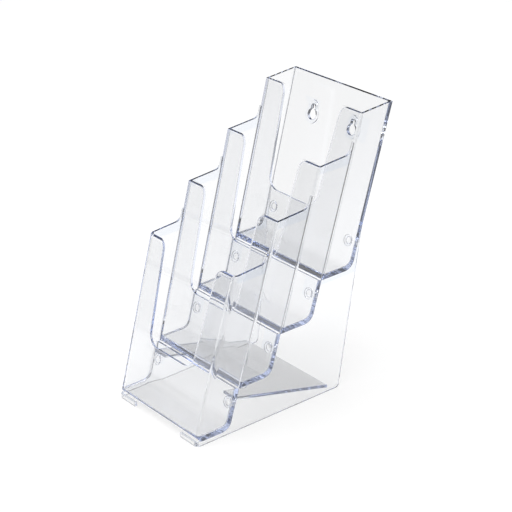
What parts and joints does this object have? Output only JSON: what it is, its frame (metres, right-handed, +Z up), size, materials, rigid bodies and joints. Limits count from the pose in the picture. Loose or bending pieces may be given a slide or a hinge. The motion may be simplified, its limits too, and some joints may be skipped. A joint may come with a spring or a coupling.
{
  "type": "tiered leaflet holder",
  "caption": "Clear plastic leaflet holder: leaning pockets stepped one behind another on a side-frame stand, with keyholes high in the back for wall hanging.",
  "frame": {"origin": "on the countertop plane, in the middle of the holder's bounding box", "axes": "+Z up, -Y towards the user and the pockets' front walls, +X to the right as seen from the front"},
  "size_m": [0.126, 0.2132, 0.2517],
  "materials": {
    "clear_pocket": "clear moulded polystyrene, polished",
    "clear_stand": "clear moulded polystyrene, polished",
    "clear_stud": "clear moulded polystyrene, polished"
  },
  "bodies": {
    "root": {"front_pocket": "clear_pocket", "second_pocket": "clear_pocket", "third_pocket": "clear_pocket", "rear_pocket": "clear_pocket", "left_stand_frame": "clear_stand", "right_stand_frame": "clear_stand", "stand_web": "clear_stand", "front_left_stud": "clear_stud", "front_right_stud": "clear_stud", "second_left_stud": "clear_stud", "second_right_stud": "clear_stud", "third_left_stud": "clear_stud", "third_right_stud": "clear_stud", "rear_left_stud": "clear_stud", "rear_right_stud": "clear_stud"}
  },
  "joints": []
}
